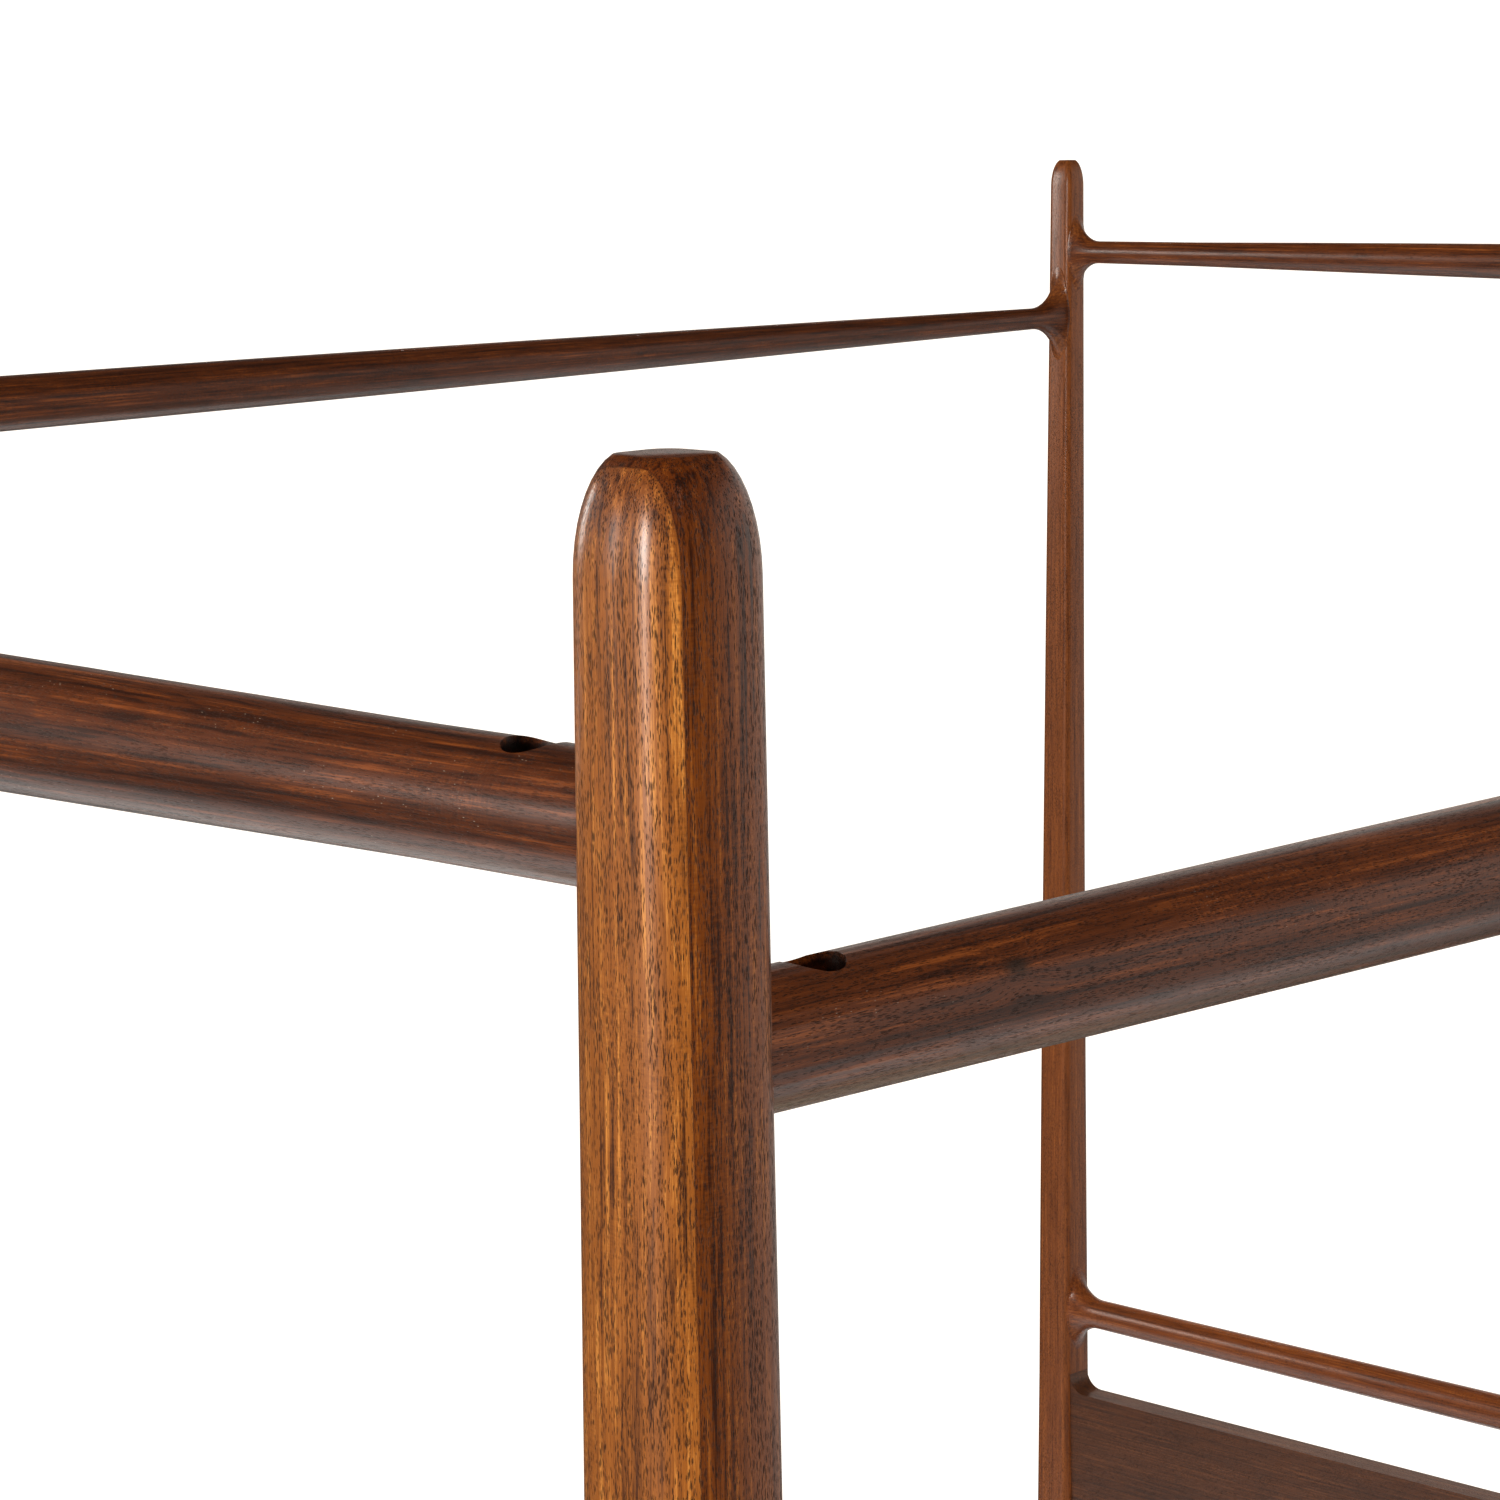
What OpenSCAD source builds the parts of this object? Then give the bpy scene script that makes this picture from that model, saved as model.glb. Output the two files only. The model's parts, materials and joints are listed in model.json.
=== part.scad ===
// Four-post canopy bed in solid walnut, for a 1600 x 2000 mattress.
// The frame stands with +Z up on z = 0, its head end at +Y and its foot end at -Y,
// and its origin is on the floor in the middle of the four posts.
// "Left" and "right" are -X and +X.

/* [Overall] */
// Distance between the centres of the left and right posts
span_x = 1650; // [1300:1:2000]
// Distance between the centres of the foot and head posts
span_y = 2060; // [1700:1:2480]
// Height of the foot posts above the floor
foot_post_top = 2000; // [1650:1:2400]
// How much lower the head posts end than the foot posts
head_post_drop = 12.4; // [0:0.1:20]

/* [Posts] */
// Width of every post where the bed rails meet it
deck_w = 52; // [46:0.5:64]
// Width of every post at the floor
floor_w = 37; // [30:0.5:44]
// Width of a foot post at the height where its long taper starts
foot_mid_w = 47; // [40:0.5:52]
// Width of a foot post at its top, before the crown is rounded
foot_top_w = 35.4; // [34:0.1:44]
// Width of a head post at the height where its long taper starts
head_mid_w = 32.4; // [30:0.1:38]
// Width of a head post at its top, before the crown is rounded
head_top_w = 20.6; // [20.4:0.1:26]
// Height at which the long taper of every post starts
taper_z = 995; // [800:1:1100]
// Largest corner radius of a post
corner_r = 11; // [6:0.5:11]
// Height of the rounded crown of a foot post
foot_crown_h = 28; // [10:0.5:40]
// How far the crown of a foot post draws in
foot_crown_in = 10.5; // [4:0.5:12]
// Height of the rounded crown of a head post
head_crown_h = 20.5; // [8:0.5:24]
// How far the crown of a head post draws in
head_crown_in = 6.7; // [3:0.1:8]
// Height of the rounded tip that is planed off a foot post to leave its small flat top
foot_crown_flat = 1; // [0.4:0.1:3]
// Height of the rounded tip that is planed off a head post
head_crown_flat = 0.5; // [0.3:0.1:2]
// How far a head post sweeps outwards and forwards, along its diagonal
head_sweep = 6; // [0:0.5:8]

/* [Canopy rails] */
// Depth of the two cross rails below the top of the foot posts
cross_rail_drop = 83.4; // [75:0.1:100]
// Depth of the two long rails below the top of the foot posts
long_rail_drop = 135.6; // [130:0.1:180]
// Thickness of the foot cross rail at its ends
foot_rail_end_d = 31.9; // [28:0.1:34]
// Thickness of the foot cross rail in the middle
foot_rail_mid_d = 41.9; // [34:0.1:54]
// Thickness of a long rail at the foot post
long_rail_foot_d = 33; // [28:0.1:34]
// Thickness of a long rail at its thickest place
long_rail_max_d = 38; // [34:0.1:48]
// Distance of the thickest place of a long rail from the foot post's centre
long_rail_peak = 560; // [300:1:900]
// Thickness of a long rail at the head post, before it flares
long_rail_head_d = 16.6; // [16:0.1:20]
// Radius of the long rails' flare at the head posts
long_rail_flare = 31; // [15:0.5:36]
// Thickness of the head cross rail near its ends, before it flares
head_rail_end_d = 17.4; // [16:0.1:20]
// Thickness of the head cross rail in the middle
head_rail_mid_d = 30.2; // [20:0.1:38]
// Radius of the head cross rail's flares
head_rail_flare = 22; // [10:0.5:30]
// Rise of the head cross rail in the middle
head_rail_rise = 3.7; // [0:0.1:8]

/* [Canopy hardware] */
// Diameter of the hanger bolts that hold the rails to the foot posts
hanger_d = 8; // [6:1:8]
// Diameter of the access hole over each hanger bolt's nut
pocket_d = 16; // [16:0.5:18]
// Distance of that hole from the foot post's centre
pocket_s = 44; // [40:0.5:54]
// Diameter of the connector bolts that hold the rails to the head posts
connector_d = 6; // [5:1:6]

/* [Headboard] */
// Height of the centre of the round rail over the headboard
board_rail_z = 1050; // [1020:1:1100]
// Thickness of that rail near its ends, before it flares
board_rail_end_d = 23.4; // [18:0.1:26]
// Thickness of that rail in the middle
board_rail_mid_d = 27.3; // [24:0.1:36]
// Radius of that rail's flares
board_rail_flare = 24; // [10:0.5:30]
// Height of the top edge of the panel
board_top = 982; // [900:1:985]
// Height of the bottom edge of the panel
board_bottom = 470; // [400:1:700]
// Thickness of the panel
board_t = 22; // [16:1:24]
// Radius of the concave corners where the panel meets the posts
board_fillet = 15; // [5:0.5:20]

/* [Bed rails] */
// Thickness of the four bed rails
rail_t = 28; // [22:0.5:30]
// Height of the four bed rails
rail_h = 140; // [120:1:190]
// Height of their bottom edge above the floor
rail_bottom = 220; // [160:1:320]
// Radius of their long edges
rail_edge_r = 5; // [1:0.5:8]
// Diameter of the bolts between posts and bed rails
deck_bolt_d = 8; // [6:1:8]

/* [Slats] */
// Depth of the slats' top face below the top of the bed rails
well_depth = 50; // [30:1:60]
// Number of slats
slat_count = 16; // [8:1:16]
// Width of a slat
slat_w = 70; // [50:1:80]
// Thickness of a slat
slat_t = 20; // [14:1:24]
// Width of the cleats that carry the slats' ends
cleat_w = 25; // [18:1:32]
// Height of those cleats
cleat_h = 30; // [22:1:32]
// Width of the two webbing straps under the slats
strap_w = 30; // [20:1:40]
// Thickness of those straps
strap_t = 1.5; // [1:0.1:2.5]

/* [Centre support] */
// Width of the beam under the middle of the slats
beam_w = 45; // [40:1:60]
// Height of that beam
beam_h = 70; // [50:1:80]
// Distance between the beam's legs
leg_pitch = 600; // [400:1:700]
// Diameter of a leg at its top
leg_top_d = 42; // [36:1:45]
// Diameter of a leg at its bottom
leg_bottom_d = 34; // [30:1:40]
// Diameter of a levelling foot's stud
level_stud_d = 10; // [8:1:12]
// Diameter of a levelling foot's pad
level_pad_d = 38; // [30:1:50]
// How far a levelling foot can be screwed out
level_travel = 20; // [5:1:25]

/* [Hidden] */
slat_names = [for (i = [1 : slat_count]) str("slat_", i < 10 ? "0" : "", i)];
leg_names = ["front", "middle", "rear"];

walnut_dark = [0.33, 0.18, 0.11];
walnut_mid = [0.42, 0.24, 0.14];
walnut_warm = [0.52, 0.30, 0.16];
birch = [0.80, 0.68, 0.50];
zinc = [0.72, 0.73, 0.75];
brass = [0.75, 0.62, 0.33];
black_steel = [0.12, 0.12, 0.13];
webbing = [0.20, 0.20, 0.21];
nylon = [0.15, 0.13, 0.12];

// Derived places
px = span_x / 2;
py = span_y / 2;
head_post_top = foot_post_top - head_post_drop;
cross_z = foot_post_top - cross_rail_drop;
long_z = foot_post_top - long_rail_drop;
rail_top = rail_bottom + rail_h;
deck_half = deck_w / 2;
slat_top = rail_top - well_depth;
slat_z = slat_top - slat_t;
foot_mid = foot_mid_w / 2;
foot_top = foot_top_w / 2;
head_mid = head_mid_w / 2;
head_top = head_top_w / 2;

// Fits and small details
foot_corner = 0.6;         // corner radius of a foot post, as a share of its half width
head_corner = 0.42;        // the same for a head post, whose edges are crisper
deck_margin = 5;           // flat length of a post beyond the bed rails' edges
foot_chamfer = 3;          // chamfer round a post's bottom end
glide_d = 26;
glide_t = 5;
glide_pin_d = 5;
glide_pin_l = 15;
bolt_gap = 0.5;            // radial clearance of a bolt in a plain hole
thread_gap = 0.05;         // radial clearance of a stud that turns in its insert
end_gap = 1;               // gap at the ends of loose pieces
sweep_z = 900;             // height at which a head post's sweep is largest
rail_sides = 32;           // points round a turned rail
arc_steps = 9;             // rings in a flare or a crown
corner_steps = 6;          // segments in a post's rounded corner
$fn = 64;

function mix(a, b, t) = a + (b - a) * t;

// ---------------------------------------------------------------- posts

// Smooth run from a to b that starts level and arrives with the given rise
function ease_to(a, b, rise, t) =
    a * (2 * pow(t, 3) - 3 * t * t + 1) + b * (3 * t * t - 2 * pow(t, 3))
    + rise * (pow(t, 3) - t * t);

deck_low = rail_bottom - deck_margin;
deck_high = rail_top + deck_margin;

// Half width of a post at height z, for a post that ends at top_z
function post_half(z, mid, top, top_z) =
    z <= deck_low ? mix(floor_w / 2, deck_half, sin(90 * z / deck_low))
    : z <= deck_high ? deck_half
    : z <= taper_z
        ? ease_to(deck_half, mid, (top - mid) * (taper_z - deck_high) / (top_z - taper_z),
                  (z - deck_high) / (taper_z - deck_high))
    : mix(mid, top, (z - taper_z) / (top_z - taper_z));

function foot_half(z) = post_half(z, foot_mid, foot_top, foot_post_top);
function head_half(z) = post_half(z, head_mid, head_top, head_post_top);

// Sideways shift of a head post at height z, the same along x and along y
function head_shift(z) =
    head_sweep / sqrt(2) * (
        z >= sweep_z ? sin(90 * max(0, head_post_top - z) / (head_post_top - sweep_z))
        : z >= deck_high ? (1 - cos(180 * (z - deck_high) / (sweep_z - deck_high))) / 2
        : 0);

// Distance of a head post's inner and front faces from its nominal axis
function head_face_in(z) = head_half(z) - head_shift(z);
function head_face_front(z) = head_half(z) + head_shift(z);

// One ring of a post: a square with round corners, moved by shift along x and y
function post_ring(z, half, share, shift) =
    let (c = min(corner_r, share * half), s = half - c)
    [for (q = [0 : 3], i = [0 : corner_steps])
        let (a = 90 * q + 90 * i / corner_steps, m = 90 * q + 45)
        [s * sign(cos(m)) + c * cos(a) + shift, s * sign(sin(m)) + c * sin(a) + shift, z]];

// Solid through a list of rings with the same number of points
module loft(rings) {
    n = len(rings[0]);
    last = len(rings) - 1;
    polyhedron(
        points = [for (ring = rings, p = ring) p],
        faces = concat(
            [[for (i = [0 : n - 1]) i]],
            [for (k = [0 : last - 1], i = [0 : n - 1])
                let (a = k * n + i, b = k * n + (i + 1) % n) [a, a + n, b]],
            [for (k = [0 : last - 1], i = [0 : n - 1])
                let (a = k * n + i, b = k * n + (i + 1) % n) [b, a + n, b + n]],
            [[for (i = [n - 1 : -1 : 0]) last * n + i]]));
}

// Heights of a post's rings up to the start of its crown
function post_heights(crown_z) = concat(
    [for (i = [1 : 4]) mix(glide_t + foot_chamfer, deck_low, i / 4)],
    [deck_high],
    [for (i = [1 : 6]) mix(deck_high, taper_z, i / 6)],
    [for (i = [1 : 8]) mix(taper_z, crown_z, i / 8)]);

// Rings of a whole post: chamfered foot, tapers and crown, each as [height, draw-in]
function post_rings(top, crown_h, crown_flat, crown_in) =
    let (crown_z = top + crown_flat - crown_h, end_a = asin(1 - crown_flat / crown_h))
    concat(
        [[glide_t, foot_chamfer], [glide_t + foot_chamfer, 0]],
        [for (z = post_heights(crown_z)) [z, 0]],
        [for (i = [1 : arc_steps])
            let (a = end_a * i / arc_steps)
            [crown_z + crown_h * sin(a), crown_in * (1 - cos(a))]]);

// Plain wood of a foot post on its own axis, or only the stretch of it around height near
module foot_post_wood(near = 0, reach = foot_post_top) {
    rings = post_rings(foot_post_top, foot_crown_h, foot_crown_flat, foot_crown_in);
    loft([for (r = rings)
        if (abs(r[0] - near) <= reach) post_ring(r[0], foot_half(r[0]) - r[1], foot_corner, 0)]);
}

// Plain wood of the right head post on its own axis, or only a stretch of it.
// Its sweep runs outwards (+x) and forwards (-y), so the rings are made turned.
module head_post_wood(near = 0, reach = foot_post_top) {
    rings = post_rings(head_post_top, head_crown_h, head_crown_flat, head_crown_in);
    rotate([0, 0, -90])
        loft([for (r = rings)
            if (abs(r[0] - near) <= reach)
                post_ring(r[0], head_half(r[0]) - r[1], head_corner, head_shift(r[0]))]);
}

// Round hole or pin from the point at, along +x, +y or -x, -y by turn, from a to b
module along(turn, z, a, b, d) {
    rotate([0, 0, turn])
        translate([a, 0, z])
            rotate([0, 90, 0])
                cylinder(h = b - a, d = d);
}

// Heights of the bed bolts above the rails' bottom: side rails, then cross rails
side_bolt_zs = [rail_bottom + 30, rail_top - 30];
cross_bolt_zs = [rail_bottom + 50, rail_top - 50];
bolt_head_d = 2 * deck_bolt_d;
bolt_head_t = 4;
bolt_recess = 6;
bolt_reach = 52;           // how far a bed bolt runs into the rail
nut_reach = 40;            // distance of a barrel nut from the rail's end
barrel_d = 12;
barrel_l = 20;
glide_screw_z = glide_t + glide_pin_l;

// Bed-bolt holes of a post whose side rail lies along turn and cross rail along cross_turn
module deck_holes(turn, cross_turn) {
    for (z = side_bolt_zs) {
        along(turn, z, -deck_w, deck_w, deck_bolt_d + 2 * bolt_gap);
        along(turn + 180, z, deck_half - bolt_recess, deck_w, bolt_head_d + 2 * bolt_gap);
    }
    for (z = cross_bolt_zs) {
        along(cross_turn, z, -deck_w, deck_w, deck_bolt_d + 2 * bolt_gap);
        along(cross_turn + 180, z, deck_half - bolt_recess, deck_w, bolt_head_d + 2 * bolt_gap);
    }
    translate([0, 0, glide_t - 1])
        cylinder(h = glide_pin_l + 1, d = glide_pin_d);
}

hanger_grip = 12;          // how far a hanger bolt runs past a post's axis

module foot_post() {
    color(walnut_warm)
        translate([px, -py, 0])
            difference() {
                foot_post_wood();
                along(180, cross_z, -hanger_grip, foot_post_top, hanger_d);
                along(90, long_z, -hanger_grip, foot_post_top, hanger_d);
                deck_holes(90, 180);
            }
}

connector_head_d = 10;
connector_head_t = 3;
connector_recess = 4;      // depth of a connector's head below the post's face
connector_reach = 30;      // how far a connector runs from the post's axis
insert_d = 9;
insert_l = 14;
dowel_d = 8;
dowel_l = 40;
// Distances of the recesses' floors from a head post's axis
connector_seat_back = head_half(long_z) - head_shift(long_z) - connector_recess;
connector_seat_out = head_half(cross_z) + head_shift(cross_z) - connector_recess;
board_rail_y = py - head_shift(board_rail_z);
board_y = py - head_shift(board_top);
board_end = px - head_face_in(board_top) + 8; // the panel's ends stand 8 deep in the posts

module head_post() {
    color(walnut_mid)
        difference() {
            translate([px, py, 0])
                difference() {
                    head_post_wood();
                    along(-90, long_z, -deck_w, deck_w, connector_d + 2 * bolt_gap);
                    along(90, long_z, connector_seat_back, deck_w, connector_head_d + 2 * bolt_gap);
                    along(180, cross_z, -deck_w, deck_w, connector_d + 2 * bolt_gap);
                    along(0, cross_z, connector_seat_out, deck_w, connector_head_d + 2 * bolt_gap);
                    deck_holes(-90, 180);
                }
            translate([board_end, board_y - board_t / 2, board_bottom])
                mirror([1, 0, 0])
                    cube([deck_w, board_t, board_top + board_fillet - board_bottom]);
            translate([px - head_face_in(board_rail_z), board_rail_y, board_rail_z])
                rotate([0, 90, 0])
                    cylinder(h = dowel_l / 2, d = dowel_d, center = true);
        }
}

// ---------------------------------------------------------------- turned rails

// Growth of a flare of radius r at distance s from the post's face
function flare(s, r) = s >= r ? 0 : s <= 0 ? r : r - sqrt(r * r - (r - s) * (r - s));

// Places along a flare, from the post's face outwards, evenly spaced round its arc
function flare_places(face, r) = [for (i = [0 : arc_steps]) face + r * (1 - cos(90 * i / arc_steps))];

// One ring of a rail that runs along x: half width w, half height h, centre raised by up
function rail_ring(s, w, h, up) =
    [for (i = [0 : rail_sides - 1])
        let (a = -360 * i / rail_sides) [s, w * cos(a), h * sin(a) + up]];

rail_sink = 5;             // how far a rail is made past a post's face, before it is coped
cope_reach = 180;          // length of post each way that a rail's end is coped to
side_flare = 1.6;          // sideways growth of a flare, which stays within the post

long_slim = 50;            // length of the slim stretch at a long rail's head end
pocket_floor = 9;          // depth of a pocket's floor below the rail's axis

// Long rail: radius at distance s from the foot post's axis
function long_r(s) =
    s <= long_rail_peak
        ? mix(long_rail_foot_d, long_rail_max_d, sin(90 * s / long_rail_peak)) / 2
        : mix(long_rail_head_d, long_rail_max_d,
              sin(90 * min(1, max(0, span_y - s - long_slim) / (span_y - long_slim - long_rail_peak)))) / 2;

module canopy_rail_long() {
    face = span_y - head_face_front(long_z);
    first = foot_half(long_z) - rail_sink;
    r = long_rail_flare;
    body = [for (i = [0 : 18]) mix(first, face - r, i / 18)];
    tail = [for (i = [arc_steps - 1 : -1 : 0]) face - r * (1 - cos(90 * i / arc_steps))];
    color(walnut_dark)
        difference() {
            translate([px, -py, long_z])
                rotate([0, 0, 90])
                    loft(concat(
                        [for (s = body) rail_ring(s, long_r(s), long_r(s), 0)],
                        [for (s = tail)
                            let (g = flare(face - s, r))
                            rail_ring(s, long_r(s) + side_flare * g / r, long_r(s) + g, 0)],
                        [rail_ring(face + rail_sink, long_r(face) + side_flare,
                                   long_r(face) + r, 0)]));
            translate([px, py, 0])
                head_post_wood(long_z, cope_reach);
            translate([px, -py, 0]) {
                foot_post_wood(long_z, cope_reach);
                along(90, long_z, 0, pocket_s, hanger_d + 2 * bolt_gap);
                translate([0, pocket_s, long_z - pocket_floor])
                    cylinder(h = long_rail_max_d, d = pocket_d);
            }
            translate([px, py, 0])
                along(-90, long_z, 0, connector_reach + 2, insert_d);
        }
}

foot_rail_even = 80;       // length at each end where the foot cross rail keeps its thickness

// Radius of the foot cross rail at distance s from a post's axis
function foot_rail_r(s) =
    mix(foot_rail_end_d, foot_rail_mid_d,
        sin(90 * max(0, min(s, span_x - s) - foot_rail_even) / (px - foot_rail_even))) / 2;

module canopy_rail_foot() {
    first = foot_half(cross_z) - rail_sink;
    steps = 24;
    color(walnut_dark)
        difference() {
            translate([-px, -py, cross_z])
                rotate([0, 90, 0])
                    rotate_extrude()
                        polygon(concat(
                            [[0, first]],
                            [for (i = [0 : steps])
                                let (s = mix(first, span_x - first, i / steps)) [foot_rail_r(s), s]],
                            [[0, span_x - first]]));
            for (side = [-1, 1])
                translate([side * px, -py, 0]) {
                    foot_post_wood(cross_z, cope_reach);
                    along(90 + side * 90, cross_z, 0, pocket_s, hanger_d + 2 * bolt_gap);
                    translate([-side * pocket_s, 0, cross_z - pocket_floor])
                        cylinder(h = foot_rail_mid_d, d = pocket_d);
                }
        }
}

// Rail between the head posts with a flare at both ends, even for the given length near them
module flared_rail(z, y, end_d, mid_d, even, r, rise, drop) {
    face = head_face_in(z);
    half = function (s)
        mix(end_d, mid_d, sin(90 * max(0, min(s, span_x - s) - even) / (px - even))) / 2;
    lift = function (s) rise * sin(180 * s / span_x) - drop;
    head = flare_places(face, r);
    body = [for (i = [1 : 15]) mix(face + r, span_x - face - r, i / 16)];
    tail = [for (i = [arc_steps : -1 : 0]) span_x - head[i]];
    translate([-px, y, z])
        loft(concat(
            [rail_ring(face - rail_sink, end_d / 2 + side_flare, end_d / 2 + r, lift(face))],
            [for (s = head)
                let (g = flare(s - face, r))
                rail_ring(s, half(s) + side_flare * g / r, half(s) + g, lift(s))],
            [for (s = body) rail_ring(s, half(s), half(s), lift(s))],
            [for (s = tail)
                let (g = flare(span_x - s - face, r))
                rail_ring(s, half(s) + side_flare * g / r, half(s) + g, lift(s))],
            [rail_ring(span_x - face + rail_sink, end_d / 2 + side_flare, end_d / 2 + r,
                       lift(face))]));
}

head_rail_even = 90;       // slim length at each end of the head cross rail
head_rail_sag = 1.2;       // how far its ends lie below its nominal height
board_rail_even = 84;      // slim length at each end of the rail over the headboard

module canopy_rail_head() {
    color(walnut_dark)
        difference() {
            flared_rail(cross_z, py, head_rail_end_d, head_rail_mid_d, head_rail_even,
                        head_rail_flare, head_rail_rise, head_rail_sag);
            for (side = [0, 1])
                mirror([side, 0, 0])
                    translate([px, py, 0]) {
                        head_post_wood(cross_z, cope_reach);
                        along(180, cross_z, 0, connector_reach + 2, insert_d);
                    }
        }
}

module headboard_top_rail() {
    color(walnut_mid)
        difference() {
            flared_rail(board_rail_z, board_rail_y, board_rail_end_d, board_rail_mid_d,
                        board_rail_even, board_rail_flare, 0, 0);
            for (side = [0, 1])
                mirror([side, 0, 0]) {
                    translate([px, py, 0])
                        head_post_wood(board_rail_z, cope_reach);
                    translate([px - head_face_in(board_rail_z), board_rail_y, board_rail_z])
                        rotate([0, 90, 0])
                            cylinder(h = 3 * dowel_l / 2, d = dowel_d, center = true);
                }
        }
}

// ---------------------------------------------------------------- canopy hardware

hex_af = 13;               // width across flats of an M8 nut
hex_t = 6.5;
washer_t = 4;              // thickness of a half-moon washer in its middle
pocket_near = pocket_s - pocket_d / 2;

// Repeats its children at the four joints at the foot posts, lying along +x from the post
module at_hanger_joints() {
    for (side = [0, 1])
        mirror([side, 0, 0])
            translate([px, -py, 0]) {
                translate([0, 0, long_z])
                    rotate([0, 0, 90])
                        children();
                translate([0, 0, cross_z])
                    rotate([0, 0, 180])
                        children();
            }
}

module canopy_hanger_bolts() {
    color(zinc)
        at_hanger_joints()
            translate([-hanger_grip, 0, 0])
                rotate([0, 90, 0])
                    cylinder(h = hanger_grip + pocket_near + washer_t + hex_t + 3, d = hanger_d);
}

module canopy_half_moon_washers() {
    washer_gap = 0.1;
    color(zinc)
        at_hanger_joints()
            difference() {
                intersection() {
                    translate([pocket_s, 0, 0])
                        cylinder(h = 14, d = pocket_d - 2 * washer_gap, center = true);
                    translate([pocket_near, -pocket_d / 2, -7])
                        cube([washer_t, pocket_d, 14]);
                }
                rotate([0, 90, 0])
                    cylinder(h = pocket_s, d = hanger_d + 2 * bolt_gap);
            }
}

module canopy_hex_nuts() {
    color(zinc)
        at_hanger_joints()
            translate([pocket_near + washer_t, 0, 0])
                rotate([0, 90, 0])
                    difference() {
                        cylinder(h = hex_t, d = hex_af / cos(30), $fn = 6);
                        translate([0, 0, -1])
                            cylinder(h = hex_t + 2, d = hanger_d);
                    }
}

// Bolt along +x from its head seat at -seat to its end at reach, with a hex socket in its head
module socket_bolt(seat, reach, d, head_d, head_t, socket_af) {
    web = 1;
    translate([-seat, 0, 0])
        rotate([0, 90, 0])
            difference() {
                union() {
                    translate([0, 0, -head_t])
                        cylinder(h = head_t, d = head_d);
                    translate([0, 0, -web])
                        cylinder(h = web + seat + reach, d = d);
                }
                translate([0, 0, -2 * head_t])
                    cylinder(h = 2 * head_t - web, d = socket_af / cos(30), $fn = 6);
            }
}

module canopy_connector_bolts() {
    color(black_steel)
        for (side = [0, 1])
            mirror([side, 0, 0])
                translate([px, py, 0]) {
                    translate([0, 0, long_z])
                        rotate([0, 0, -90])
                            socket_bolt(connector_seat_back, connector_reach, connector_d,
                                        connector_head_d, connector_head_t, 4);
                    translate([0, 0, cross_z])
                        rotate([0, 0, 180])
                            socket_bolt(connector_seat_out, connector_reach, connector_d,
                                    connector_head_d, connector_head_t, 4);
                }
}

module canopy_rail_inserts() {
    color(brass)
        for (side = [0, 1])
            mirror([side, 0, 0])
                translate([px, py, 0])
                    for (joint = [[-90, long_z], [180, cross_z]])
                        difference() {
                            along(joint[0], joint[1], connector_reach - insert_l,
                                  connector_reach, insert_d);
                            along(joint[0], joint[1], connector_reach - insert_l - 1,
                                  connector_reach + 1, connector_d);
                        }
}

// ---------------------------------------------------------------- headboard

module headboard_dowels() {
    color(birch)
        for (side = [-1, 1])
            translate([side * (px - head_face_in(board_rail_z) - dowel_l / 8),
                       board_rail_y, board_rail_z])
                rotate([0, 90, 0])
                    cylinder(h = 3 * dowel_l / 4 - 1, d = dowel_d, center = true);
}

module headboard_panel() {
    face = px - head_face_in(board_top);
    color(walnut_dark)
        translate([0, board_y + board_t / 2, 0])
            rotate([90, 0, 0])
                linear_extrude(board_t) {
                    translate([-board_end, board_bottom])
                        square([2 * board_end, board_top - board_bottom]);
                    for (side = [0, 1])
                        mirror([side, 0])
                            difference() {
                                translate([face - board_fillet, board_top])
                                    square([board_end - face + board_fillet, board_fillet]);
                                translate([face - board_fillet, board_top + board_fillet])
                                    circle(r = board_fillet);
                            }
                }
}

// ---------------------------------------------------------------- bed rails

// Bar of length l along x with its four long edges rounded, centred on x and y, standing on z = 0
module edged_bar(l, w, h, r) {
    translate([-l / 2, 0, 0])
        rotate([90, 0, 90])
            linear_extrude(l) {
                translate([-w / 2 + r, 0])
                    square([w - 2 * r, h]);
                translate([-w / 2, r])
                    square([w, h - 2 * r]);
                for (x = [-1, 1], z = [r, h - r])
                    translate([x * (w / 2 - r), z])
                        circle(r = r);
            }
}

// Bed rail of length l along x with the holes for its bolts and barrel nuts, open on the -y side
module drilled_rail(l, zs) {
    difference() {
        edged_bar(l, rail_t, rail_h, rail_edge_r);
        for (side = [0, 1], z = zs)
            mirror([side, 0, 0]) {
                translate([l / 2 - bolt_reach - 8, 0, z - rail_bottom])
                    rotate([0, 90, 0])
                        cylinder(h = bolt_reach + 9, d = deck_bolt_d + 2 * bolt_gap);
                translate([l / 2 - nut_reach, barrel_l / 2, z - rail_bottom])
                    rotate([90, 0, 0])
                        cylinder(h = barrel_l / 2 + rail_t, d = barrel_d);
            }
    }
}

side_rail_l = span_y - deck_w;
cross_rail_l = span_x - deck_w;
cleat_z = slat_z - cleat_h;
cleat_l = side_rail_l - 20;
cleat_screws_n = 8;
screw_d = 4;
screw_head_d = 8;
function cleat_screw_y(i) = mix(-cleat_l / 2 + 60, cleat_l / 2 - 60, i / (cleat_screws_n - 1));
screw_in = 16;             // how far a cleat or bracket screw runs into a rail

module side_rail() {
    color(walnut_mid)
        difference() {
            translate([px, 0, rail_bottom])
                rotate([0, 0, -90])
                    drilled_rail(side_rail_l, side_bolt_zs);
            for (i = [0 : cleat_screws_n - 1])
                translate([px - rail_t / 2 - 1, cleat_screw_y(i), cleat_z + cleat_h / 2])
                    rotate([0, 90, 0])
                        cylinder(h = screw_in + 1, d = screw_d);
        }
}

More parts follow.
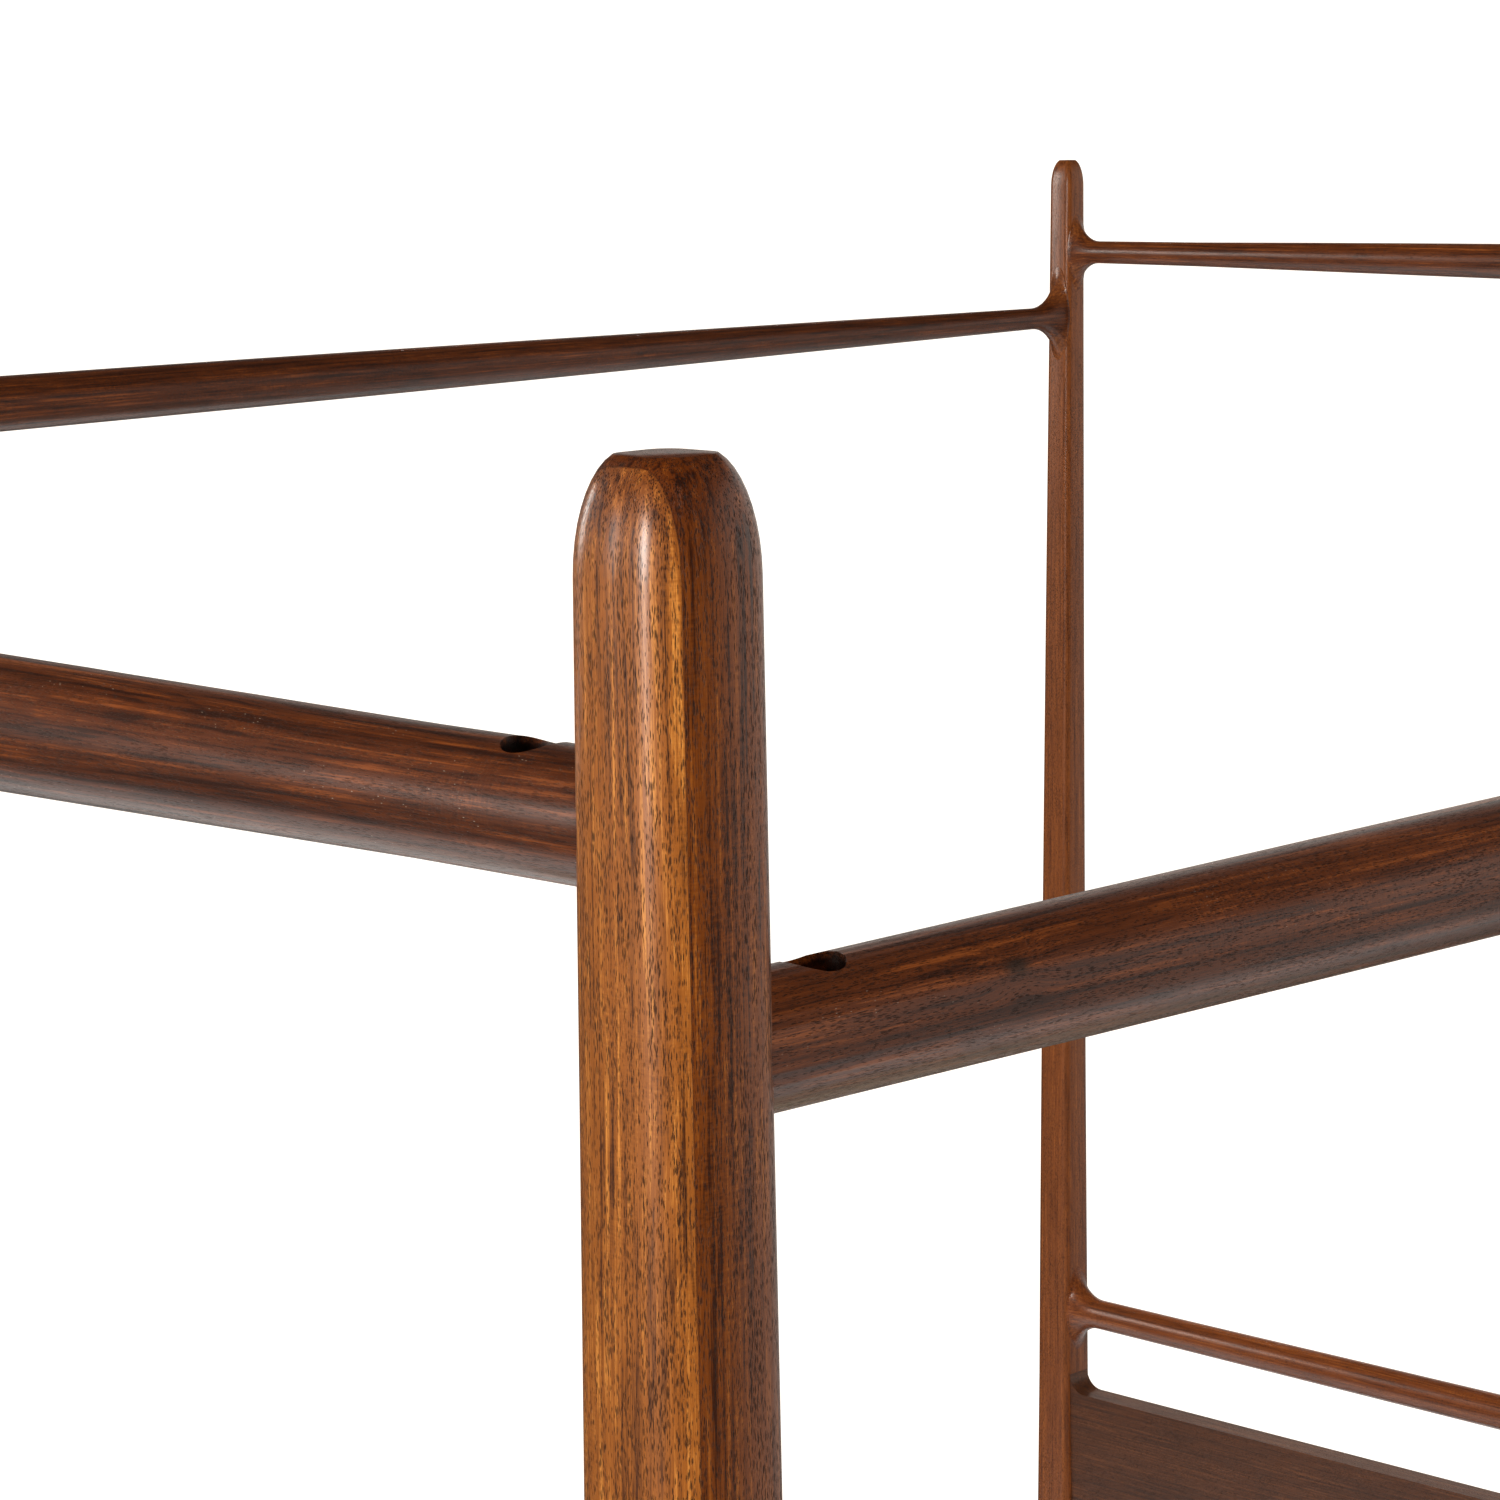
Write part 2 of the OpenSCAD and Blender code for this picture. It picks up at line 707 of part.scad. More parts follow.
bracket_t = 3;
bracket_d = 45;            // how far a bracket reaches under the beam
bracket_h = beam_h - 14;
bracket_gap = 0.5;         // side clearance between the beam and a bracket
bracket_w = beam_w + 2 * bracket_gap + 2 * bracket_t;
ear_w = 22;                // width of a bracket's screw ears
beam_z = slat_z - beam_h;
function bracket_screws() = [for (x = [-1, 1], z = [14, bracket_h - 14])
    [x * (bracket_w / 2 + ear_w / 2), beam_z + z]];

// Pilot holes of the beam's bracket in a cross rail whose inner face is at y
module bracket_pilots(y) {
    for (p = bracket_screws())
        translate([p[0], y, p[1]])
            rotate([90, 0, 0])
                cylinder(h = 2 * screw_in, d = screw_d, center = true);
}

module foot_rail() {
    color(walnut_mid)
        difference() {
            translate([0, -py, rail_bottom])
                rotate([0, 0, 180])
                    drilled_rail(cross_rail_l, cross_bolt_zs);
            bracket_pilots(-py + rail_t / 2);
        }
}

module head_rail() {
    color(walnut_mid)
        difference() {
            translate([0, py, rail_bottom])
                drilled_rail(cross_rail_l, cross_bolt_zs);
            bracket_pilots(py - rail_t / 2);
        }
}

// Repeats its children at the 16 bed bolts, lying along +x from the post's axis
module at_bed_bolts() {
    for (side = [0, 1], end = [0, 1])
        mirror([side, 0, 0])
            mirror([0, end, 0])
                translate([px, -py, 0]) {
                    for (z = side_bolt_zs)
                        translate([0, 0, z])
                            rotate([0, 0, 90])
                                children();
                    for (z = cross_bolt_zs)
                        translate([0, 0, z])
                            rotate([0, 0, 180])
                                mirror([0, 1, 0])
                                    children();
                }
}

module bed_bolts() {
    color(black_steel)
        at_bed_bolts()
            socket_bolt(deck_half - bolt_recess, deck_half + bolt_reach, deck_bolt_d,
                        bolt_head_d, bolt_head_t, 5);
}

module bed_barrel_nuts() {
    color(zinc)
        at_bed_bolts()
            difference() {
                translate([deck_half + nut_reach, 0, 0])
                    rotate([90, 0, 0])
                        cylinder(h = barrel_l, d = barrel_d, center = true);
                rotate([0, 90, 0])
                    cylinder(h = 2 * deck_w, d = deck_bolt_d);
            }
}

// ---------------------------------------------------------------- slats and straps

module slat_cleat() {
    inner = px - rail_t / 2 - cleat_w;
    color(birch)
        difference() {
            translate([inner, -cleat_l / 2, cleat_z])
                cube([cleat_w, cleat_l, cleat_h]);
            for (i = [0 : cleat_screws_n - 1])
                translate([inner, cleat_screw_y(i), cleat_z + cleat_h / 2])
                    rotate([0, 90, 0]) {
                        translate([0, 0, -1])
                            cylinder(h = cleat_w + 2, d = screw_d);
                        translate([0, 0, -1])
                            cylinder(h = 5, d = screw_head_d);
                    }
        }
}

// Screw along +x with its head seat at the origin
module wood_screw(l) {
    rotate([0, 90, 0])
        cylinder(h = l, d = screw_d);
    translate([-2, 0, 0])
        rotate([0, 90, 0])
            cylinder(h = 2, d = screw_head_d);
}

module cleat_screws() {
    color(zinc)
        for (side = [0, 1], i = [0 : cleat_screws_n - 1])
            mirror([side, 0, 0])
                translate([px - rail_t / 2 - cleat_w + 4, cleat_screw_y(i), cleat_z + cleat_h / 2])
                    wood_screw(cleat_w - 4 + screw_in);
}

slat_l = span_x - rail_t - 8;
slat_run = side_rail_l - 16 - slat_w;
slat_edge_r = 4;
function slat_y(i) = mix(-slat_run / 2, slat_run / 2, i / (slat_count - 1));
strap_x = span_x / 4;

module slat(i) {
    color(birch)
        translate([0, slat_y(i), slat_z])
            edged_bar(slat_l, slat_w, slat_t, slat_edge_r);
}

module strap() {
    color(webbing)
        translate([strap_x - strap_w / 2, -slat_run / 2 - slat_w / 2 + 5, slat_z - strap_t])
            cube([strap_w, slat_run + slat_w - 10, strap_t]);
}

module strap_staples() {
    crown = [12, 1.2, 0.8];
    color(zinc)
        for (side = [-1, 1], i = [0 : slat_count - 1], row = [-1, 1])
            translate([side * strap_x - crown[0] / 2, slat_y(i) + row * 12 - crown[1] / 2,
                       slat_z - strap_t - crown[2]])
                cube(crown);
}

// ---------------------------------------------------------------- centre support

beam_l = span_y - rail_t - 2 * bracket_t - 2 * end_gap;
level_pad_t = 8;
level_stud_l = 42;
level_insert_d = level_stud_d + 5;
level_insert_l = 25;
leg_l = beam_z - level_pad_t;
leg_bolt_in = 30;          // how far a leg's hanger bolt runs each way from the beam's underside

module centre_beam() {
    color(birch)
        difference() {
            translate([-beam_w / 2, -beam_l / 2, beam_z])
                cube([beam_w, beam_l, beam_h]);
            for (i = [-1 : 1])
                translate([0, i * leg_pitch, beam_z - 1])
                    cylinder(h = leg_bolt_in + 1, d = hanger_d);
        }
}

// U-shaped bracket with two screw ears, on the inner face of the foot rail
module beam_bracket() {
    color(black_steel)
        translate([0, -py + rail_t / 2, beam_z - bracket_t])
            difference() {
                union() {
                    translate([-bracket_w / 2 - ear_w, 0, bracket_t])
                        cube([bracket_w + 2 * ear_w, bracket_t, bracket_h]);
                    translate([-bracket_w / 2, 0, 0])
                        cube([bracket_w, bracket_d, bracket_t]);
                    for (side = [-1, 1])
                        translate([side * (bracket_w - bracket_t) / 2 - bracket_t / 2, 0, 0])
                            cube([bracket_t, bracket_d, bracket_h + bracket_t]);
                }
                for (p = bracket_screws())
                    translate([p[0], -1, p[1] - beam_z + bracket_t])
                        rotate([-90, 0, 0])
                            cylinder(h = bracket_t + 2, d = screw_d + 2 * bolt_gap);
            }
}

module bracket_screws_all() {
    color(zinc)
        for (end = [0, 1], p = bracket_screws())
            mirror([0, end, 0])
                translate([p[0], -py + rail_t / 2 + bracket_t, p[1]])
                    rotate([0, 0, -90])
                        wood_screw(bracket_t + screw_in);
}

module centre_leg(i) {
    color(walnut_mid)
        translate([0, i * leg_pitch, level_pad_t])
            difference() {
                cylinder(h = leg_l, d1 = leg_bottom_d, d2 = leg_top_d);
                translate([0, 0, -1])
                    cylinder(h = level_insert_l + 1, d = level_insert_d);
                cylinder(h = level_stud_l + 4, d = level_stud_d + 1);
                translate([0, 0, leg_l - leg_bolt_in])
                    cylinder(h = leg_bolt_in + 1, d = hanger_d);
            }
}

module leg_hanger_bolts() {
    color(zinc)
        for (i = [-1 : 1])
            translate([0, i * leg_pitch, beam_z - leg_bolt_in])
                cylinder(h = 2 * leg_bolt_in, d = hanger_d);
}

module leg_inserts() {
    color(brass)
        for (i = [-1 : 1])
            translate([0, i * leg_pitch, level_pad_t])
                difference() {
                    cylinder(h = level_insert_l, d = level_insert_d);
                    translate([0, 0, -1])
                        cylinder(h = level_insert_l + 2, d = level_stud_d + 2 * thread_gap);
                }
}

// Levelling foot, screwed right in: its pad stands on the floor and meets the leg
module levelling_foot(i) {
    base_d = level_pad_d;
    color(nylon)
        translate([0, i * leg_pitch, 0])
            rotate_extrude()
                polygon([[0, 0], [base_d / 2 - 1.5, 0], [base_d / 2, 1.5], [base_d / 2, 4],
                         [level_insert_d / 2, level_pad_t], [level_stud_d / 2, level_pad_t],
                         [level_stud_d / 2, level_pad_t + level_stud_l],
                         [0, level_pad_t + level_stud_l]]);
}

module post_glides() {
    color(nylon)
        for (x = [-px, px], y = [-py, py])
            translate([x, y, 0]) {
                cylinder(h = glide_t, d = glide_d);
                cylinder(h = glide_t + glide_pin_l, d = glide_pin_d);
            }
}

// ---------------------------------------------------------------- drawing

mirror([1, 0, 0]) foot_post();  // foot_post_left
foot_post();  // foot_post_right
mirror([1, 0, 0]) head_post();  // head_post_left
head_post();  // head_post_right
canopy_rail_foot();
canopy_rail_head();
mirror([1, 0, 0]) canopy_rail_long();  // canopy_rail_left
canopy_rail_long();  // canopy_rail_right
canopy_hanger_bolts();
canopy_half_moon_washers();
canopy_hex_nuts();
canopy_connector_bolts();
canopy_rail_inserts();
headboard_top_rail();
headboard_dowels();
headboard_panel();
mirror([1, 0, 0]) side_rail();  // side_rail_left
side_rail();  // side_rail_right
foot_rail();
head_rail();
bed_bolts();
bed_barrel_nuts();
mirror([1, 0, 0]) slat_cleat();  // slat_cleat_left
slat_cleat();  // slat_cleat_right
cleat_screws();
mirror([1, 0, 0]) strap();  // strap_left
strap();  // strap_right
strap_staples();
centre_beam();
beam_bracket();  // beam_bracket_foot
mirror([0, 1, 0]) beam_bracket();  // beam_bracket_head
bracket_screws_all();  // bracket_screws
leg_hanger_bolts();
leg_inserts();
post_glides();
for (i = [0 : slat_count - 1])
    slat(i);
for (i = [0 : 2]) {
    centre_leg(i - 1);
    levelling_foot(i - 1);
}
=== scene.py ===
import json
import math

import bmesh
import bpy
from mathutils import Matrix, Vector

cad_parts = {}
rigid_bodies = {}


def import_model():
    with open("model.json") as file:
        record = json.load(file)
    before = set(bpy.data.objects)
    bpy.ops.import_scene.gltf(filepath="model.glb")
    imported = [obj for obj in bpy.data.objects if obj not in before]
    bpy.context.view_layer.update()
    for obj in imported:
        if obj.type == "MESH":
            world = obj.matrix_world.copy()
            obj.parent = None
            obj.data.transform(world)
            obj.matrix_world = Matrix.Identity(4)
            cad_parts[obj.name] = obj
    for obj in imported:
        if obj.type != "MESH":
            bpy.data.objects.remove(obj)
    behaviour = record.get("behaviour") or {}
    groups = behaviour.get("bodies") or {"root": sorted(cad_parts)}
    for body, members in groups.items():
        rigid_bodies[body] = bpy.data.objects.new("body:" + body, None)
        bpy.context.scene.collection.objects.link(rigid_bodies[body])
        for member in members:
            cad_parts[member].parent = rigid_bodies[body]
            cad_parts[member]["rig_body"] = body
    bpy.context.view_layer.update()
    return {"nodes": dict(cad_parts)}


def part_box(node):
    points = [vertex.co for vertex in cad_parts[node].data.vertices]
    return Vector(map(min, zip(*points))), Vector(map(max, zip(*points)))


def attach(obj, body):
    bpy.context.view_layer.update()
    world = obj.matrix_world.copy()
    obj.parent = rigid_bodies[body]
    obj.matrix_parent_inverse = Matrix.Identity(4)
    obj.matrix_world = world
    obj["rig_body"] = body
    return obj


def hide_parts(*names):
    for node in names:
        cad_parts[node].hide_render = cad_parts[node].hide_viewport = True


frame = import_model()
scene = bpy.context.scene

# ---------------------------------------------------------------- camera
# It stands in front of the right foot corner at canopy height, and looks down a little at the
# top of the right foot post, past it to the left head post. Metres, with +Z up.
heading, down, tilt = math.radians(44.687), math.radians(9.016), math.radians(-0.804)
forward = Vector((-math.sin(heading) * math.cos(down), math.cos(heading) * math.cos(down),
                  -math.sin(down)))
level_right = forward.cross(Vector((0, 0, 1))).normalized()
level_up = level_right.cross(forward)
cam_right = math.cos(tilt) * level_right + math.sin(tilt) * level_up
cam_up = -math.sin(tilt) * level_right + math.cos(tilt) * level_up
camera_data = bpy.data.cameras.new("camera")
camera_data.sensor_width = 36.0
camera_data.lens = 108.32
camera_data.clip_end = 200.0
camera = bpy.data.objects.new("camera", camera_data)
turn = Matrix((cam_right, cam_up, -forward)).transposed().to_4x4()
camera.matrix_world = Matrix.Translation((1.5272, -1.7151, 2.0899)) @ turn
scene.collection.objects.link(camera)
scene.camera = camera

# ---------------------------------------------------------------- studio
# A white sweep: a pale floor that fades into a bright wall behind the bed. The room in front of
# it is dark, with three narrow strip boxes for highlights and three large fill lights, which
# stay out of the lacquer's reflections.


class Tone:
    """A value or a colour inside one node tree. Arithmetic on tones adds its Math nodes, and
    node() adds any other node."""

    def __init__(self, tree, socket=None):
        self.tree, self.socket = tree, socket

    def node(self, kind, settings=None, inputs=None, output=0):
        made = self.tree.nodes.new(kind)
        for key, value in (settings or {}).items():
            if key == "stops":
                ramp = made.color_ramp
                while len(ramp.elements) < len(value):
                    ramp.elements.new(0.5)
                for element, (place, color) in zip(ramp.elements, value):
                    element.position = place
                    element.color = color if len(color) == 4 else (*color, 1.0)
            else:
                setattr(made, key, value)
        for key, value in (inputs or {}).items():
            if isinstance(value, Tone):
                self.tree.links.new(value.socket, made.inputs[key])
            else:
                made.inputs[key].default_value = value
        return Tone(self.tree, made.outputs[output] if made.outputs else None)

    def math(self, operation, *values, clamp=False):
        settings = {"operation": operation, "use_clamp": clamp}
        return self.node("ShaderNodeMath", settings, dict(enumerate(values)))

    def __add__(self, other):
        return self.math("ADD", self, other)

    def __radd__(self, other):
        return self.math("ADD", other, self)

    def __sub__(self, other):
        return self.math("SUBTRACT", self, other)

    def __rsub__(self, other):
        return self.math("SUBTRACT", other, self)

    def __mul__(self, other):
        return self.math("MULTIPLY", self, other)

    def __rmul__(self, other):
        return self.math("MULTIPLY", other, self)

    def __truediv__(self, other):
        return self.math("DIVIDE", self, other)

    def __pow__(self, other):
        return self.math("POWER", self, other)

    def step(self, low, high):
        """0 below low, 1 above high and smooth between."""
        return self.node("ShaderNodeMapRange", {"interpolation_type": "SMOOTHSTEP"},
                         {"Value": self, "From Min": low, "From Max": high})

    def place(self, x, y, z):
        """A vector from three values."""
        return self.node("ShaderNodeCombineXYZ", {}, {"X": x, "Y": y, "Z": z})

    def noise(self, x, y, z, detail=2.0, rough=0.5):
        """Noise from 0 to 1 at a place whose axes are already scaled."""
        return self.node("ShaderNodeTexNoise", {}, {"Vector": self.place(x, y, z), "Scale": 1.0,
                                                    "Detail": detail, "Roughness": rough})

    def cells(self, x, y, z, output="Distance"):
        """Distance to the nearest of scattered points, one to each unit cube."""
        return self.node("ShaderNodeTexVoronoi", {}, {"Vector": self.place(x, y, z), "Scale": 1.0},
                         output)

    def blend(self, other, share, mode="MIX"):
        """This colour with a share of the other one laid over it."""
        return self.node("ShaderNodeMix", {"data_type": "RGBA", "blend_type": mode},
                         {0: share, 6: self, 7: other}, 2)


def start_material(name):
    """A new material, its tree's Tone, and the object's x, y and z in millimetres."""
    material = bpy.data.materials.new(name)
    material.use_nodes = True
    tree = material.node_tree
    tree.nodes.clear()
    tone = Tone(tree)
    spot = tone.node("ShaderNodeTexCoord", {}, {}, "Object")
    xyz = [tone.node("ShaderNodeSeparateXYZ", {}, {"Vector": spot}, axis) * 1000.0
           for axis in "XYZ"]
    return material, tone, xyz


def end_material(material, tone, inputs, height=None, depth=0.0):
    """Puts the surface shader on, with a bump where a height in 0 to 1 is given."""
    inputs = dict(inputs)
    if height is not None:
        inputs["Normal"] = tone.node("ShaderNodeBump", {}, {"Height": height, "Strength": 1.0,
                                                            "Distance": depth})
    surface = tone.node("ShaderNodeBsdfPrincipled", {}, inputs)
    tone.node("ShaderNodeOutputMaterial", {}, {"Surface": surface})
    return material


floor_radius, fade_start, fade_end = 3.3, 1800.0, 3200.0
floor_mesh = bpy.data.meshes.new("floor")
sweep = bmesh.new()
bmesh.ops.create_circle(sweep, cap_ends=True, segments=96, radius=floor_radius)
sweep.to_mesh(floor_mesh)
sweep.free()
floor = bpy.data.objects.new("floor", floor_mesh)
scene.collection.objects.link(floor)
floor_paint, tone, (x, y, z) = start_material("pale floor")
away = (x * x + y * y) ** 0.5
speckle = tone.noise(x * 0.004, y * 0.004, 0.0)
floor_paint = end_material(floor_paint, tone, {
    "Base Color": (0.81, 0.80, 0.79, 1.0), "Roughness": 0.75 + speckle * 0.1,
    "Specular IOR Level": 0.1, "Emission Color": (1.0, 0.98, 0.96, 1.0), "Emission Strength": 0.22,
    "Alpha": 1.0 - away.step(fade_start, fade_end)})
floor_mesh.materials.append(floor_paint)

world = bpy.data.worlds.new("studio")
world.use_nodes = True
world.node_tree.nodes.clear()
sky = Tone(world.node_tree)
way = sky.node("ShaderNodeTexCoord", {}, {}, "Generated")
way_y, way_z = [sky.node("ShaderNodeSeparateXYZ", {}, {"Vector": way}, axis) for axis in "YZ"]
backdrop_white, room_glow = 1.35, 0.03
behind = way_y.step(0.42, 0.85)
wall = behind * (1.0 - way_z.step(0.28, 0.42)) * (0.42 + way_z.step(-0.16, -0.05) * 0.33)
seen = sky.node("ShaderNodeLightPath", {}, {}, "Is Camera Ray")
glow = seen * backdrop_white + (1.0 - seen) * (room_glow + wall)
sky.node("ShaderNodeOutputWorld", {}, {"Surface": sky.node(
    "ShaderNodeBackground", {}, {"Color": (1.0, 0.94, 0.87, 1.0), "Strength": glow})})
scene.world = world
scene.view_settings.view_transform = "Standard"


def soft_box(name, at, towards, width, height, power, color):
    """A rectangular area light in metres and watts."""
    light = bpy.data.lights.new(name, "AREA")
    light.shape = "RECTANGLE"
    light.size, light.size_y, light.energy, light.color = width, height, power, color
    box = bpy.data.objects.new(name, light)
    box.location = at
    box.rotation_euler = (Vector(towards) - Vector(at)).to_track_quat("-Z", "Y").to_euler()
    scene.collection.objects.link(box)
    return box


post_top = Vector((0.825, -1.03, 1.9))


def around_post(azimuth, distance, height):
    """A place at an angle from straight in front of the foot end, towards the right."""
    a = math.radians(azimuth)
    return (post_top.x + distance * math.sin(a), post_top.y - distance * math.cos(a), height)


warm = (1.0, 0.95, 0.88)
soft_box("strip_front", around_post(0.0, 2.6, 2.32), post_top, 0.32, 1.0, 62.0, warm)
soft_box("strip_left", around_post(-42.0, 2.6, 2.25), post_top, 0.06, 0.8, 8.0, warm)
soft_box("strip_head", (-3.0, -1.1, 2.35), (-0.825, 1.03, 1.9), 0.35, 0.9, 24.0, warm)
fill_white, bed_middle = (1.0, 0.995, 0.985), (0.3, -0.2, 1.4)
for name, azimuth, distance, height, power in (
        ("fill_left", -60.0, 4.6, 5.2, 118.0), ("fill_right", 78.0, 4.6, 5.2, 340.0),
        ("fill_back", 225.0, 6.5, 3.2, 260.0)):
    fill = soft_box(name, around_post(azimuth, distance, height), bed_middle, 2.2, 1.6, power,
                    fill_white)
    fill.visible_glossy = False

# ---------------------------------------------------------------- foot posts
# Each foot post is glued up from walnut boards with upright glue lines, shaped and sanded by
# hand and lacquered. The outer board is warmer and more open-grained than those behind it.


def skin(node, paint, crease=32.0):
    """The part's own shape as one smooth-shaded skin, in place of its loose triangles."""
    source = frame["nodes"][node]
    mesh = bpy.data.meshes.new(node + "_skin")
    shell = bmesh.new()
    shell.from_mesh(source.data)
    bmesh.ops.remove_doubles(shell, verts=shell.verts, dist=1e-6)
    bmesh.ops.dissolve_degenerate(shell, dist=1e-6, edges=shell.edges)
    for face in shell.faces:
        face.smooth = True
    for edge in shell.edges:
        if len(edge.link_faces) == 2 and edge.calc_face_angle(0.0) > math.radians(crease):
            edge.smooth = False
    shell.to_mesh(mesh)
    shell.free()
    mesh.materials.clear()
    mesh.materials.append(paint)
    piece = bpy.data.objects.new(node + "_piece", mesh)
    scene.collection.objects.link(piece)
    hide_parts(node)
    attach(piece, source["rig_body"])
    return piece


def soften(piece, share):
    """Shades a post's hand-sanded faces as slightly crowned, so that they roll into its corners.
    Within each quarter turn, a normal keeps this share of its angle to the corner's middle."""
    mesh = piece.data
    crisp = {v for edge in mesh.edges if edge.use_edge_sharp for v in edge.vertices}
    normals = []
    for vertex in mesh.vertices:
        if vertex.index in crisp:
            normals.append((0.0, 0.0, 0.0))
            continue
        turned = math.degrees(math.atan2(vertex.normal.y, vertex.normal.x)) % 360.0
        start = 90.0 * int(turned / 90.0)
        turned = math.radians(start + 45.0 + (turned - start - 45.0) * share)
        level = math.hypot(vertex.normal.x, vertex.normal.y)
        normals.append((level * math.cos(turned), level * math.sin(turned), vertex.normal.z))
    mesh.normals_split_custom_set_from_vertices(normals)


AXES = {"x": 0, "y": 1, "z": 2}
pore_brown, knot_brown = (0.010, 0.005, 0.003, 1.0), (0.012, 0.006, 0.003, 1.0)
fleck_pale = (0.42, 0.33, 0.25, 1.0)
# These four darken what they cover
inner_board, glue_line = (0.50, 0.39, 0.27, 1.0), (0.45, 0.36, 0.30, 1.0)
# pocket_shade is painted shade, for the shadow in the recess of a bored pocket
crown_darkening, pocket_shade = (0.60, 0.52, 0.46, 1.0), (0.16, 0.13, 0.12, 1.0)


def walnut(name, grain, centre, seed, light, mid, dark, board=None, pores=1.0, figure=1.0,
           flecks=0.0, knot=None, crown=None, pocket=None, flare=None):
    """Lacquered walnut with its grain along one axis, round a centre line in millimetres.

    board is the axis across a glue line and its place, knot a place along and over the centre
    line, crown the height of a post's top, pocket where the painted shade in bored pockets
    starts, how deep under the surface and whether at both ends, and flare where flared ends
    start, whether at both ends, and their light, middle and dark tones.
    """
    material, tone, xyz = start_material(name)
    along = xyz.pop(AXES[grain])
    a, b = xyz[0] - centre[0], xyz[1] - centre[1]
    height_up = along
    radius = (a * a + b * b) ** 0.5
    outer = pocket_shade_mask = in_flare = None
    if flare is not None:
        # The flared end is left lighter, as it is shaped and finished together with the post
        flare_start, both_ends, flare_tones = flare
        outwards = along.math("ABSOLUTE", along) if both_ends else along
        in_flare = outwards.step(flare_start, flare_start + 20.0) * radius.step(9.5, 21.0)
    if pocket is not None:
        # Painted shade inside a bored pocket, below the turned surface at the rail's end: the wood
        # there is darkened to stand for the shadow in the recess
        pocket_start, surface_radius, both_ends = pocket
        outwards = along.math("ABSOLUTE", along) if both_ends else along * -1.0
        pocket_shade_mask = outwards.step(pocket_start, pocket_start + 1.0) * (
            1.0 - radius.step(surface_radius - 1.5, surface_radius))
    if board is not None:
        across, glue_place = board
        past = (a, b)[across] - glue_place
        outer = 1.0 - past.step(-0.08, 0.08)
        glue = 1.0 - past.math("ABSOLUTE", past).step(0.05, 0.25)
        a, b, along = a + outer * 37.0, b + outer * 13.0, along + outer * 613.0
    near_knot = None
    if knot is not None:
        # The grain parts round a small knot
        knot_off = (((along - knot[0]) * 0.45) ** 2.0 + (b - knot[1]) ** 2.0) ** 0.5
        near_knot = 1.0 - knot_off.step(0.6, 3.2)
        b = b + (1.0 - knot_off.step(0.0, 9.0)) * (b - knot[1]) * 0.8
    wander = tone.noise(a * 0.02 + seed, b * 0.02, along * 0.0035, 2.0) - 0.5
    sway = tone.noise(a * 0.05, b * 0.05 + seed, along * 0.012, 2.0) - 0.5
    # Growth rings round a pith that lies outside the piece
    pith_a, pith_b = a + 46.0 + 3.0 * seed, b - 31.0
    ring = ((pith_a * pith_a + pith_b * pith_b) ** 0.5 + wander * 26.0 + sway * 6.0
            + along * 0.004) / 3.1
    late = ring.math("FRACT", ring)
    late = late.step(0.35, 0.9) * (1.0 - late.step(0.93, 1.0))
    # Colour streaks, fibres, a ripple across the grain, and then the open pores
    streak = tone.noise(a * 0.55 + wander * 3.0, b * 0.55 + seed, along * 0.008, 5.0, 0.72)
    broad = tone.noise(a * 0.08 + seed, b * 0.08, along * 0.004, 2.0, 0.5)
    fibre = tone.noise(a * 3.0 + sway, b * 3.0 + seed, along * 0.11, 3.0, 0.75)
    flame = tone.noise(a * 0.12 + seed, b * 0.12 + along * 0.02, along * 0.035, 3.0, 0.6)
    patch = tone.noise(a * 0.04, b * 0.04 + seed, along * 0.012, 1.0).step(0.45, 0.62)
    ripple = (tone.noise(a * 0.35, b * 0.35, along * 1.5 + seed, 1.0) - 0.5) * patch
    crowd = tone.noise(a * 0.45, b * 0.45 + seed, along * 0.035, 2.0, 0.6)
    pore_size = 0.33 + crowd.step(0.38, 0.62) * 0.20 - late * 0.06
    pore_spot = tone.cells(a * 2.7 + sway * 2.0, b * 2.7, along * 0.36 + seed)
    hair_spot = tone.cells(a * 4.2 - sway * 2.0, b * 4.2 + seed, along * 0.60)
    pore = 1.0 - (pore_spot / pore_size).step(0.45, 1.0)
    hair = (1.0 - (hair_spot / 0.36).step(0.3, 1.0)) * crowd.step(0.35, 0.6)
    pore = pore.math("MAXIMUM", pore, hair * 0.6) * pores
    value = (0.52 + (streak - 0.5) * 3.0 * figure + (broad - 0.5) * 0.8 * figure
             + (flame - 0.5) * 0.6 * figure - late * 0.20 + (fibre - 0.5) * 1.1 + ripple * 0.6)
    color = value.node("ShaderNodeValToRGB", {
        "stops": [(0.0, dark), (0.42, mid), (0.60, mid), (1.0, light)]}, {"Fac": value})
    if in_flare is not None:
        pale = value.node("ShaderNodeValToRGB", {
            "stops": [(0.0, flare_tones[2]), (0.5, flare_tones[1]), (1.0, flare_tones[0])]},
            {"Fac": value})
        color = color.blend(pale, in_flare * 0.9)
    if board is not None:
        color = color.blend(inner_board, 1.0, "MULTIPLY").blend(color, outer)
        color = color.blend(glue_line, glue * 0.5, "MULTIPLY")
    color = color.blend(pore_brown, pore * 0.84)
    if flecks:
        fleck_spot = tone.cells(a * 0.9 + along * 0.10, b * 0.9 + seed, along * 0.33)
        fleck_here = tone.noise(a * 0.11 + seed, b * 0.11, along * 0.03, 1.0).step(0.50, 0.66)
        fleck = (1.0 - (fleck_spot / 0.13).step(0.4, 1.0)) * fleck_here
        color = color.blend(fleck_pale, fleck * flecks)
    if near_knot is not None:
        color = color.blend(knot_brown, near_knot * 0.85)
    if crown is not None:
